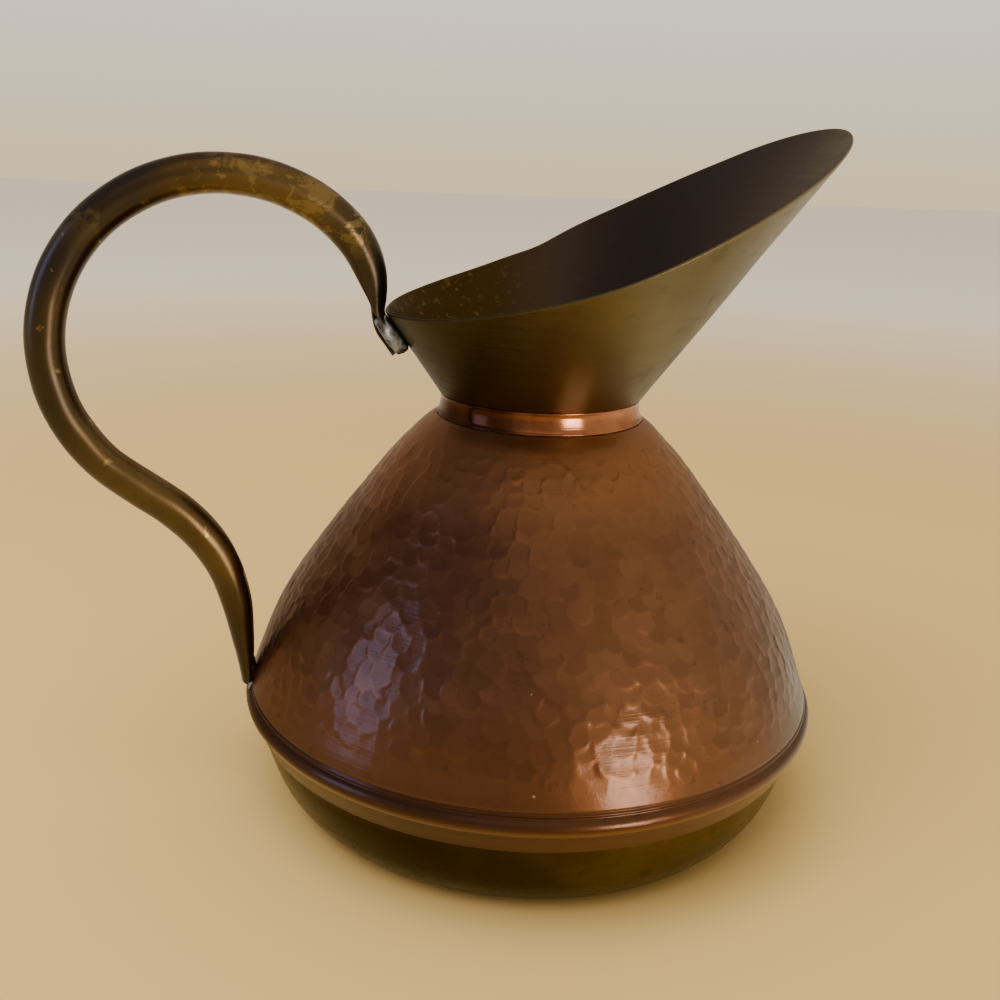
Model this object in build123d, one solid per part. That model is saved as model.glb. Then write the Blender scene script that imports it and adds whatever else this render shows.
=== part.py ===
from build123d import *
import math
import os

# Copper and brass pitcher. A hammered copper cone is clinched over a spun brass
# base pan, a copper collar closes its neck, and an oblique brass funnel stands in
# the collar as mouth and pouring lip. The handle is one tapered strip of brass
# rolled into an open-backed channel and soft-soldered at both ends.
# Frame: origin at the centre of the base on the table, +Z up, pouring lip towards
# +X, handle towards -X. All lengths are millimetres.

# ---------------------------------------------------------------- driving sizes
SHEET = 0.9            # wall of the copper body and the brass pan
FUNNEL_SHEET = 0.8     # wall of the funnel
HANDLE_SHEET = 0.9     # wall of the handle channel
FIT = 0.05             # gap left between sheets that slide over each other

FOOT_R = 66.0          # radius of the flat underside
PAN_WALL = [(70.2, 0.75), (73.2, 2.6), (76.2, 5.4), (78.9, 9.4), (81.0, 14.4), (82.5, 19.6), (83.38, 24.5), (85.05, 30.8)]

SKIRT_LOW = (84.35, 24.5)     # lower edge of the copper skirt over the pan
SKIRT_TOP = (86.25, 31.2)
BEAD_R = 88.0                 # outermost radius, the clinched bead
BEAD_Z = 33.1
BODY = [(86.15, 36.9), (84.9, 41.0), (83.4, 45.3), (79.9, 53.9), (74.7, 63.9), (68.1, 73.9), (60.7, 84.0), (53.1, 94.0), (45.3, 104.0), (38.4, 111.5), (34.6, 115.2)]
BODY_TOP_Z = 118.0
BODY_TOP_R = 31.0

COLLAR_TOP_Z = 124.2
COLLAR_TOP_R = 29.75
COLLAR_LIP_R = 30.6
COLLAR_WAIST_R = 29.3
SPIGOT_R = 28.85              # outside of the funnel's spigot, in the collar
BORE_R = 28.10                # inside of the spigot: the clear neck
SPIGOT_LOW_Z = 116.0
COLLAR_LOW_Z = 112.0

FUNNEL_SLOPE = 0.711          # radius gained per millimetre of height
RIM = [(-62, 144.9), (-46.1, 147.2), (-26.6, 151.4), (-5.1, 157.2), (8.9, 162.2), (22.9, 168.5), (36.2, 175.0), (48.5, 181.4), (59.7, 187.4), (69.7, 193.0), (78.0, 197.9), (85.1, 202.0), (97, 208.6)]

# Handle stations from the funnel to the foot: centre x, centre z, half of the
# in-plane depth, half of the width across, half-angle of the open back in degrees.
HANDLE = [
    (-41.26, 136.34, 2.15, 3.9, 80), (-43.75, 139.84, 2.15, 3.9, 80), (-45.83, 142.77, 2.10, 3.9, 80),
    (-47.15, 145.25, 1.80, 3.9, 78), (-48.05, 147.75, 1.80, 4.0, 72), (-48.25, 150.6, 2.40, 4.2, 64),
    (-48.75, 154.2, 3.20, 4.6, 54), (-49.75, 158.6, 3.95, 4.95, 46), (-53.5, 166.6, 4.76, 5.3, 38),
    (-61.9, 175.1, 5.05, 5.5, 35), (-74.9, 181.7, 5.03, 5.5, 35), (-90.4, 183.9, 4.91, 5.4, 35),
    (-105.1, 181.3, 4.86, 5.35, 35), (-116.9, 175.2, 4.85, 5.35, 35), (-125.2, 167.9, 4.86, 5.35, 35),
    (-131.4, 159.0, 4.88, 5.35, 35), (-135.8, 147.5, 4.89, 5.4, 35), (-136.9, 133.3, 4.90, 5.4, 35),
    (-133.2, 118.6, 4.94, 5.4, 35), (-124.8, 106.0, 5.05, 5.5, 35), (-114.5, 97.4, 5.18, 5.6, 35),
    (-106.3, 91.2, 5.24, 5.6, 35), (-99.7, 84.3, 5.15, 5.5, 36), (-93.9, 75.1, 4.84, 5.3, 38),
    (-90.3, 63.1, 4.16, 5.0, 44), (-88.7, 51.5, 3.15, 4.6, 54), (-87.95, 43.5, 2.20, 4.2, 66),
    (-87.75, 36.6, 1.40, 3.9, 80),
]


def rings(points):
    """Face in the XZ plane from a closed list of straight sides, revolved about Z."""
    face = make_face(Plane.XZ * Polyline(*points, close=True))
    return revolve(face, Axis.Z, 360)


def offset_points(points, gap):
    """Points moved by gap to the left of the way they run."""
    out = []
    for i, (x, z) in enumerate(points):
        a = points[max(i - 1, 0)]
        b = points[min(i + 1, len(points) - 1)]
        tx, tz = b[0] - a[0], b[1] - a[1]
        n = math.hypot(tx, tz)
        out.append((x - tz / n * gap, z + tx / n * gap))
    return out


# ---------------------------------------------------------------- base pan
# Flat bottom, rolled corner and flaring wall that ends inside the copper skirt.
wall_in = offset_points([(FOOT_R, 0.0)] + PAN_WALL, SHEET)[1:]
pan_face = make_face(Plane.XZ * (Curve() + [
    Line((0, 0), (FOOT_R, 0)),
    Spline((FOOT_R, 0), *PAN_WALL[:7], tangents=[(1, 0), (0.33, 1)]),
    Line(PAN_WALL[6], PAN_WALL[7]),
    Line(PAN_WALL[7], wall_in[7]),
    Line(wall_in[7], wall_in[6]),
    Spline(*reversed(wall_in[:7]), (FOOT_R, SHEET), tangents=[(-0.33, -1), (-1, 0)]),
    Line((FOOT_R, SHEET), (0, SHEET)),
    Line((0, SHEET), (0, 0)),
]))
base_pan = revolve(pan_face, Axis.Z, 360)

# ---------------------------------------------------------------- copper body
# One sheet: skirt over the pan, rolled bead, fine ridge, cone and turned-in shoulder.
low = [
    SKIRT_LOW, (84.95, 26.6), (85.6, 28.9), SKIRT_TOP,
    (86.75, 31.45), (87.5, 31.75), (87.9, 32.35), (BEAD_R, BEAD_Z), (87.85, 33.85), (87.4, 34.45), (86.75, 34.8),
    (86.45, 35.05), (86.6, 35.4), (86.65, 35.75), (86.45, 36.1), (86.2, 36.35),
]
low_in = [
    (83.50, 24.72), (84.08, 26.75), (84.72, 29.0), (85.36, 31.3),
    (85.75, 31.95), (86.35, 32.35), (86.75, 32.75), (86.95, 33.15), (86.8, 33.55), (86.4, 33.9), (85.85, 34.2),
    (85.55, 34.6), (85.5, 35.1), (85.45, 35.5), (85.35, 35.9), (85.25, 36.3),
]
body_in = offset_points(BODY, SHEET)
top_in = (30.10, BODY_TOP_Z)
body_face = make_face(Plane.XZ * (Curve() + [
    Polyline(*low),
    Spline(low[-1], *BODY, (BODY_TOP_R, BODY_TOP_Z)),
    Line((BODY_TOP_R, BODY_TOP_Z), top_in),
    Spline(top_in, *reversed(body_in), low_in[-1]),
    Polyline(*reversed(low_in)),
    Line(low_in[0], low[0]),
]))
body_shell = revolve(body_face, Axis.Z, 360)

# Solid of everything inside the body's outer face, used to trim solder.
body_core = revolve(make_face(Plane.XZ * (Curve() + [
    Line((0, SKIRT_LOW[1]), low[0]), Polyline(*low), Spline(low[-1], *BODY, (BODY_TOP_R, BODY_TOP_Z)),
    Line((BODY_TOP_R, BODY_TOP_Z), (0, BODY_TOP_Z)), Line((0, BODY_TOP_Z), (0, SKIRT_LOW[1])),
])), Axis.Z, 360)

# ---------------------------------------------------------------- neck collar
# Copper band with a flared lip that sits on the body and a tube that goes into it.
cin = SPIGOT_R + FIT
neck_collar = revolve(make_face(Plane.XZ * (Curve() + [
    Line((cin, COLLAR_LOW_Z), (29.65, COLLAR_LOW_Z)),
    Line((29.65, COLLAR_LOW_Z), (29.65, BODY_TOP_Z)),
    Line((29.65, BODY_TOP_Z), (COLLAR_LIP_R - 0.15, BODY_TOP_Z)),
    Spline((COLLAR_LIP_R - 0.15, BODY_TOP_Z), (COLLAR_LIP_R, 118.35), (30.2, 118.95), (COLLAR_WAIST_R + 0.3, 119.7), (COLLAR_WAIST_R, 121.3), (29.42, 122.9), (COLLAR_TOP_R, COLLAR_TOP_Z)),
    Line((COLLAR_TOP_R, COLLAR_TOP_Z), (cin, COLLAR_TOP_Z)),
    Line((cin, COLLAR_TOP_Z), (cin, COLLAR_LOW_Z)),
])), Axis.Z, 360)

# ---------------------------------------------------------------- funnel
# Spigot in the collar, shoulder on its edge, cone cut by the rim's sweep.
across = FUNNEL_SHEET * math.sqrt(1 + FUNNEL_SLOPE ** 2)
TALL = 214.0


def cone_r(z):
    return COLLAR_TOP_R + (z - COLLAR_TOP_Z) * FUNNEL_SLOPE


turn_z = COLLAR_TOP_Z + (BORE_R + across - COLLAR_TOP_R) / FUNNEL_SLOPE
funnel_blank = rings([
    (BORE_R, SPIGOT_LOW_Z), (SPIGOT_R, SPIGOT_LOW_Z), (SPIGOT_R, COLLAR_TOP_Z), (COLLAR_TOP_R, COLLAR_TOP_Z),
    (cone_r(TALL), TALL), (cone_r(TALL) - across, TALL), (BORE_R, turn_z),
])
rim_face = make_face(Plane.XZ * (Curve() + [
    Spline(*RIM), Line(RIM[-1], (RIM[-1][0] + 8, 100)), Line((RIM[-1][0] + 8, 100), (RIM[0][0] - 8, 100)), Line((RIM[0][0] - 8, 100), RIM[0]),
]))
below_rim = extrude(rim_face, 120, both=True)
funnel = funnel_blank & below_rim
funnel_core = rings([(0, COLLAR_TOP_Z), (COLLAR_TOP_R, COLLAR_TOP_Z), (cone_r(TALL), TALL), (0, TALL)])

# ---------------------------------------------------------------- handle
def between(rows, steps):
    """Rows with smooth rows added between them, and the way the line runs at each."""
    n = len(rows)
    d = [math.hypot(rows[i + 1][0] - rows[i][0], rows[i + 1][1] - rows[i][1]) for i in range(n - 1)]
    m = []
    for i in range(n):
        a = [(q - p) / d[i - 1] for p, q in zip(rows[i - 1], rows[i])] if i > 0 else None
        b = [(q - p) / d[i] for p, q in zip(rows[i], rows[i + 1])] if i < n - 1 else None
        if a is None or b is None:
            m.append(a or b)
        else:
            m.append([(u * d[i] + v * d[i - 1]) / (d[i - 1] + d[i]) for u, v in zip(a, b)])
    out = []
    for i in range(n - 1):
        for k in range(steps):
            t = k / steps
            h = (2 * t ** 3 - 3 * t * t + 1, t ** 3 - 2 * t * t + t, 3 * t * t - 2 * t ** 3, t ** 3 - t * t)
            g = (6 * t * t - 6 * t, 3 * t * t - 4 * t + 1, 6 * t - 6 * t * t, 3 * t * t - 2 * t)
            row = [h[0] * p + h[1] * d[i] * u + h[2] * q + h[3] * d[i] * v for p, q, u, v in zip(rows[i], rows[i + 1], m[i], m[i + 1])]
            way = [g[0] * p + g[1] * d[i] * u + g[2] * q + g[3] * d[i] * v for p, q, u, v in zip(rows[i], rows[i + 1], m[i], m[i + 1])][:2]
            out.append((row, way))
    out.append((list(rows[-1]), m[-1][:2]))
    return out


def section(row, way):
    """C-shaped section of the handle, square to its line, open on the inside of the loop."""
    x, z, r, w, g = row
    n = math.hypot(*way)
    tx, tz = way[0] / n, way[1] / n
    g = math.radians(g)
    a = 2 * r / (1 + math.cos(g))            # in-plane half axis of the rolled shape
    c = a - r                                # its centre, towards the open back
    plane = Plane(origin=(x, 0, z), x_dir=(-tz, 0, tx), z_dir=(tx, 0, tz))

    def arc(shrink):
        k = 14
        turn = [g + (2 * math.pi - 2 * g) * i / k for i in range(k + 1)]
        return [(c + (a - shrink) * math.cos(t), (w - shrink) * math.sin(t)) for t in turn]

    outer, inner = arc(0), arc(HANDLE_SHEET)
    return plane * make_face(Curve() + [Spline(*outer), Line(outer[-1], inner[-1]), Spline(*reversed(inner)), Line(inner[0], outer[0])])


handle = loft([section(row, way) for row, way in between(HANDLE, 2)], ruled=True)

# ---------------------------------------------------------------- solder
# Seams that make the vessel tight and hold the handle. Each is trimmed by its neighbours.
base_seam_solder = rings([(84.4, 30.7), (85.7, 30.7), (86.1, 33.1), (85.9, 33.6), (85.0, 32.7)]) - base_pan - body_shell
neck_seam_solder = (rings([(29.65, 114.9), (29.65, BODY_TOP_Z), (33.4, BODY_TOP_Z), (33.4, 116.0)]) & body_core) - body_shell - neck_collar
funnel_seam_solder = rings([(28.2, SPIGOT_LOW_Z), (cin, SPIGOT_LOW_Z), (cin, 114.2), (28.6, 115.2)])

steep = math.hypot(1, FUNNEL_SLOPE)
out_x, out_z = -1 / steep, -FUNNEL_SLOPE / steep      # away from the funnel's wall, under the handle
mid_z = 141.2
wall = Plane(origin=(-cone_r(mid_z), 0, mid_z), x_dir=(out_x, 0, out_z), z_dir=(out_z, 0, -out_x))
under = wall * Pos(0.45, 0, 0.15) * Box(1.5, 6.9, 9.7)
inside = wall * Pos(2.1, 0, 0.1) * Box(2.0, 6.0, 9.4)
handle_upper_solder = (under + inside) - funnel_core - handle
fill = Pos(-86.3, 0, 40.8) * Box(4.4, 5.6, 8.6)
drop = Pos(-86.9, 0, 36.3) * scale(Sphere(1.0), (1.6, 3.0, 1.1))
handle_lower_solder = (fill + drop) - body_core - handle

parts = {
    "base_pan": base_pan,
    "body_shell": body_shell,
    "neck_collar": neck_collar,
    "funnel": funnel,
    "handle": handle,
    "base_seam_solder": base_seam_solder,
    "neck_seam_solder": neck_seam_solder,
    "funnel_seam_solder": funnel_seam_solder,
    "handle_upper_solder": handle_upper_solder,
    "handle_lower_solder": handle_lower_solder,
}

os.makedirs("parts", exist_ok=True)
for name, shape in parts.items():
    solids = [s for s in shape.solids() if s.volume > 0.05]
    keep = Compound(children=solids) if len(solids) > 1 else solids[0]
    keep.label = name
    export_step(keep, f"parts/{name}.step")
    print(name, len(solids), round(sum(s.volume for s in solids), 1))
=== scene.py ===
import math

import bmesh
import bpy
import numpy as np
from mathutils import Matrix, Vector


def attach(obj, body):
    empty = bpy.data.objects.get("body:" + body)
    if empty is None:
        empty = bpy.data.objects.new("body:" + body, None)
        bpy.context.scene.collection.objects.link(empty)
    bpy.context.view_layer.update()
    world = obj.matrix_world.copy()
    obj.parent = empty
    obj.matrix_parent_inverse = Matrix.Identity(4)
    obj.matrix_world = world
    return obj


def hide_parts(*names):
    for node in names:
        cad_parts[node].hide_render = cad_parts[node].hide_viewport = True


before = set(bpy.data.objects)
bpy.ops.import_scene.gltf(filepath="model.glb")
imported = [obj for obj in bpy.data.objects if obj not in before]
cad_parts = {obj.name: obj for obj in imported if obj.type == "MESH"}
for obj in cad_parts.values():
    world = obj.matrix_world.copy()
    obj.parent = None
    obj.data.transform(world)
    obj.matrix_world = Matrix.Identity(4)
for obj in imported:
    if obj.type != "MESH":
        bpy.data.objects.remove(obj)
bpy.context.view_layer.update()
MM = 0.001
rng = np.random.default_rng(11)


# ------------------------------------------------------------------ camera
def look():
    data = bpy.data.cameras.new("camera")
    cam = bpy.data.objects.new("camera", data)
    bpy.context.scene.collection.objects.link(cam)
    right = Vector((0.97599373, -0.21465987, 0.03684273))
    up = Vector((0.0286089, 0.29404785, 0.95536244))
    ahead = Vector((0.2159115, 0.93137372, -0.29313004))
    m = Matrix((right, up, -ahead)).transposed().to_4x4()
    m.translation = Vector((-81.109, -302.702, 186.299)) * MM
    cam.matrix_world = m
    data.sensor_width = 36.0
    data.lens = 38.4756
    data.clip_start, data.clip_end = 0.02, 40.0
    bpy.context.scene.camera = cam


look()


# ------------------------------------------------------------------ mesh tools
def put(name, verts, faces, mat, body="root", attrs=None, fix=False):
    """A smooth mesh in millimetres, placed in the row frame, riding on a body."""
    me = bpy.data.meshes.new(name)
    me.from_pydata((np.asarray(verts, float) * MM).tolist(), [], [list(map(int, f)) for f in faces])
    if fix:
        bm = bmesh.new()
        bm.from_mesh(me)
        bmesh.ops.recalc_face_normals(bm, faces=bm.faces)
        bm.to_mesh(me)
        bm.free()
    me.polygons.foreach_set("use_smooth", np.ones(len(me.polygons), bool))
    for key, values in (attrs or {}).items():
        a = me.attributes.new(key, "FLOAT", "POINT")
        a.data.foreach_set("value", np.asarray(values, np.float32).ravel())
    me.update()
    o = bpy.data.objects.new(name, me)
    bpy.context.scene.collection.objects.link(o)
    me.materials.append(mat)
    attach(o, body)
    return o


def grid_faces(rows, cols, wrap_rows, wrap_cols):
    i = np.arange(rows if wrap_rows else rows - 1)
    j = np.arange(cols if wrap_cols else cols - 1)
    a, b = np.meshgrid(i, j, indexing="ij")
    a2, b2 = (a + 1) % rows, (b + 1) % cols
    return np.stack([a * cols + b, a * cols + b2, a2 * cols + b2, a2 * cols + b], -1).reshape(-1, 4)


def normals_2d(prof, closed):
    """Normals of a profile that runs with its outside on the right-hand side."""
    p = np.asarray(prof, float)
    if closed:
        t = np.roll(p, -1, 0) - np.roll(p, 1, 0)
    else:
        t = np.gradient(p, axis=0)
    t /= np.maximum(np.linalg.norm(t, axis=1), 1e-9)[:, None]
    return np.stack([t[:, 1], -t[:, 0]], 1)


def lathe(name, prof, n, mat, push=None, closed=True, attrs=None):
    """Revolves a profile of (radius, z). push is rows by columns, outward along the profile's normal."""
    p = np.asarray(prof, float)
    nn = normals_2d(p, closed)
    th = np.linspace(0, 2 * math.pi, n, endpoint=False)
    push = np.zeros((len(p), n)) if push is None else push
    r = p[:, 0:1] + nn[:, 0:1] * push
    z = p[:, 1:2] + nn[:, 1:2] * push
    v = np.stack([r * np.cos(th), r * np.sin(th), z + 0 * th], -1).reshape(-1, 3)
    f = grid_faces(len(p), n, closed, True).tolist()
    a = {k: np.repeat(np.asarray(x)[:, None], n, 1) if np.ndim(x) == 1 else x for k, x in (attrs or {}).items()}
    if not closed:                      # first and last rows are closed at the axis
        k = len(v)
        v = np.vstack([v, [[0, 0, p[0, 1]], [0, 0, p[-1, 1]]]])
        last = (len(p) - 1) * n
        f += [[j, k, (j + 1) % n] for j in range(n)] + [[last + j, last + (j + 1) % n, k + 1] for j in range(n)]
        a = {q: np.append(np.ravel(x), [np.ravel(x)[0], np.ravel(x)[-1]]) for q, x in a.items()}
    return put(name, v, f, mat, attrs=a)


def smooth_line(points, step):
    """A smooth line through points, resampled about every step."""
    p = np.asarray(points, float)
    d = np.r_[0, np.cumsum(np.linalg.norm(np.diff(p, axis=0), axis=1))]
    m = np.gradient(p, d, axis=0)
    out = []
    for i in range(len(p) - 1):
        h = d[i + 1] - d[i]
        k = max(1, int(round(h / step)))
        t = np.linspace(0, 1, k, endpoint=False)[:, None]
        out.append((2 * t ** 3 - 3 * t * t + 1) * p[i] + (t ** 3 - 2 * t * t + t) * h * m[i] + (3 * t * t - 2 * t ** 3) * p[i + 1] + (t ** 3 - t * t) * h * m[i + 1])
    out.append(p[-1:])
    return np.vstack(out)


def straight(points, step):
    p = np.asarray(points, float)
    out = []
    for a, b in zip(p[:-1], p[1:]):
        k = max(1, int(round(np.linalg.norm(b - a) / step)))
        out.append(a + (b - a) * np.linspace(0, 1, k, endpoint=False)[:, None])
    out.append(p[-1:])
    return np.vstack(out)


def arc(cx, cz, r, a0, a1, n):
    t = np.radians(np.linspace(a0, a1, n))
    return np.stack([cx + r * np.cos(t), cz + r * np.sin(t)], 1)


def waves(th, s, terms, seed, lo=2, hi=9, span=30.0):
    """Slow bumps round a ring: sum of sines with whole turns round it."""
    g = np.random.default_rng(seed)
    out = 0
    for _ in range(terms):
        k, q, a, b = g.integers(lo, hi), g.uniform(0.3, 1.2) * 2 * math.pi / span, g.uniform(0, 6.28), g.uniform(0, 6.28)
        out = out + np.sin(k * th + a) * np.sin(q * s + b)
    return out / math.sqrt(terms)


def step01(x, a, b):
    t = np.clip((x - a) / (b - a), 0, 1)
    return t * t * (3 - 2 * t)


# ------------------------------------------------------------------ materials
class Mat:
    def __init__(self, name, metallic=1.0):
        self.m = bpy.data.materials.new(name)
        self.m.use_nodes = True
        self.t = self.m.node_tree
        self.t.nodes.clear()
        out = self.t.nodes.new("ShaderNodeOutputMaterial")
        self.b = self.t.nodes.new("ShaderNodeBsdfPrincipled")
        self.t.links.new(self.b.outputs[0], out.inputs[0])
        self.b.inputs["Metallic"].default_value = metallic
        self.co = self.t.nodes.new("ShaderNodeTexCoord").outputs["Object"]

    def node(self, kind, ins=(), **props):
        n = self.t.nodes.new("ShaderNode" + kind)
        for k, v in props.items():
            setattr(n, k, v)
        for k, v in dict(ins).items():
            if isinstance(v, bpy.types.NodeSocket):
                self.t.links.new(v, n.inputs[k])
            else:
                n.inputs[k].default_value = v
        return n

    def scaled(self, x, y, z, source=None):
        return self.node("VectorMath", {0: source or self.co, 1: (x, y, z)}, operation="MULTIPLY").outputs[0]

    def noise(self, scale, detail=3.0, rough=0.5, vec=None, distort=0.0):
        return self.node("TexNoise", {"Vector": vec or self.co, "Scale": scale, "Detail": detail, "Roughness": rough, "Distortion": distort}).outputs["Fac"]

    def math(self, op, a, b=0.0, clamp=False):
        return self.node("Math", {0: a, 1: b}, operation=op, use_clamp=clamp).outputs[0]

    def span(self, x, a, b, c=0.0, d=1.0, kind="SMOOTHSTEP"):
        return self.node("MapRange", {"Value": x, "From Min": a, "From Max": b, "To Min": c, "To Max": d}, interpolation_type=kind, clamp=True).outputs[0]

    def mix(self, f, a, b, blend="MIX"):
        n = self.node("Mix", data_type="RGBA", blend_type=blend)
        for i, v in ((0, f), (6, a), (7, b)):
            if isinstance(v, bpy.types.NodeSocket):
                self.t.links.new(v, n.inputs[i])
            else:
                n.inputs[i].default_value = v if i == 0 else (*v, 1.0)
        return n.outputs[2]

    def attr(self, name):
        return self.node("Attribute", attribute_name=name).outputs["Fac"]

    def xyz(self):
        s = self.node("SeparateXYZ", {0: self.co})
        return s.outputs[0], s.outputs[1], s.outputs[2]

    def bump(self, height, strength, distance, normal=None):
        ins = {"Height": height, "Strength": strength, "Distance": distance}
        if normal is not None:
            ins["Normal"] = normal
        return self.node("Bump", ins).outputs[0]

    def link(self, key, socket):
        self.t.links.new(socket, self.b.inputs[key])


def copper_hammered():
    m = Mat("copper_hammered")
    crest, low_shade = m.attr("crest"), m.attr("low_shade")
    big = m.noise(13.0, 2.0, 0.55, distort=0.6)
    mid = m.noise(70.0, 3.0, 0.6)
    tint = m.math("ADD", m.math("MULTIPLY", big, 0.65), m.math("MULTIPLY", mid, 0.35))
    c = m.mix(m.span(tint, 0.36, 0.66), (0.272, 0.124, 0.064), (0.388, 0.192, 0.104))
    c = m.mix(m.math("MULTIPLY", crest, 0.10), c, (0.560, 0.260, 0.125))
    c = m.mix(m.span(m.attr("coin"), 0.0, 1.0, 0.0, 0.72, "LINEAR"), c, (0.195, 0.084, 0.042))
    x, y, z = m.xyz()
    # painted light: the upper body near the neck is made lighter
    c = m.mix(m.span(z, 0.090, 0.109, 0.0, 0.65), c, (0.560, 0.285, 0.140))
    # painted light: lighter from the middle towards the right; painted shade: darker again at the far right
    c = m.mix(m.span(x, -0.035, 0.015, 0.0, 0.24), c, (0.560, 0.300, 0.140))
    c = m.mix(m.span(x, 0.030, 0.070, 0.0, 0.30), c, (0.190, 0.090, 0.046))
    c = m.mix(m.span(z, 0.066, 0.040, 0.0, 0.50), c, (0.350, 0.152, 0.052))
    # painted shade: the right lower flank of the body is darkened
    flank_shade = m.math("MULTIPLY", m.span(x, 0.040, 0.076), m.span(z, 0.078, 0.050))
    c = m.mix(m.math("MULTIPLY", flank_shade, 0.72), c, (0.120, 0.046, 0.016))
    # painted shade: the skirt, the bead and the foot of the wall are darkened, more so towards the left
    c = m.mix(m.math("MULTIPLY", low_shade, 0.95), c, (0.110, 0.042, 0.014))
    c = m.mix(m.math("MULTIPLY", low_shade, m.span(x, 0.010, -0.050, 0.0, 0.70)), c, (0.050, 0.024, 0.016))
    stain = m.span(m.noise(240.0, 4.0, 0.7), 0.58, 0.74)
    c = m.mix(m.math("MULTIPLY", stain, 0.40), c, (0.110, 0.048, 0.026))
    dots = m.node("TexVoronoi", {"Vector": m.co, "Scale": 95.0, "Randomness": 1.0}).outputs["Distance"]
    pick = m.span(m.noise(60.0, 1.0, 0.5), 0.57, 0.62)
    fleck = m.math("MULTIPLY", m.span(dots, 0.045, 0.025), pick)
    c = m.mix(fleck, c, (0.72, 0.56, 0.45))
    m.link("Base Color", c)
    r = m.span(m.noise(45.0, 3.0, 0.6), 0.3, 0.7, 0.36, 0.48, "LINEAR")
    r = m.math("SUBTRACT", r, m.math("MULTIPLY", crest, 0.06))
    r = m.math("ADD", r, m.math("MULTIPLY", stain, 0.10), clamp=True)
    m.link("Roughness", r)
    m.link("Coat Weight", m.span(y, -0.055, -0.020, 1.0, 0.12))
    m.b.inputs["Coat Roughness"].default_value = 0.11
    m.b.inputs["Coat IOR"].default_value = 1.52
    lines = m.noise(1.0, 3.0, 0.65, vec=m.scaled(45, 45, 2600))
    where = m.span(m.noise(32.0, 2.0, 0.5), 0.40, 0.62)
    grain = m.math("ADD", m.math("MULTIPLY", m.noise(2600.0, 2.0, 0.6), 0.25), m.math("MULTIPLY", m.noise(620.0, 3.0, 0.6), 0.45))
    grain = m.math("ADD", grain, m.math("MULTIPLY", m.math("MULTIPLY", lines, where), 0.8))
    nor = m.bump(grain, 0.22, 0.00032)
    m.link("Normal", nor)
    m.link("Coat Normal", nor)
    return m.m


def copper_polished():
    m = Mat("copper_polished")
    c = m.mix(m.span(m.noise(55.0, 3.0, 0.6), 0.35, 0.68), (0.540, 0.225, 0.115), (0.740, 0.370, 0.215))
    x, y, z = m.xyz()
    # painted shade: the collar's left side is darkened
    c = m.mix(m.span(x, -0.006, -0.020, 0.0, 0.86), c, (0.085, 0.032, 0.014))
    # painted reflection: faint vertical dark streaks round the collar
    c = m.mix(m.span(m.noise(1.0, 2.0, 0.5, vec=m.scaled(130, 130, 12)), 0.50, 0.62, 0.0, 0.32), c, (0.150, 0.056, 0.026))
    stain = m.span(m.noise(330.0, 4.0, 0.7), 0.60, 0.72)
    c = m.mix(m.math("MULTIPLY", stain, 0.5), c, (0.200, 0.080, 0.040))
    m.link("Base Color", c)
    m.link("Roughness", m.span(m.noise(90.0, 3.0, 0.6), 0.3, 0.7, 0.13, 0.24, "LINEAR"))
    lines = m.noise(1.0, 3.0, 0.6, vec=m.scaled(60, 60, 2400))
    m.link("Normal", m.bump(lines, 0.12, 0.0001))
    return m.m


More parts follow.
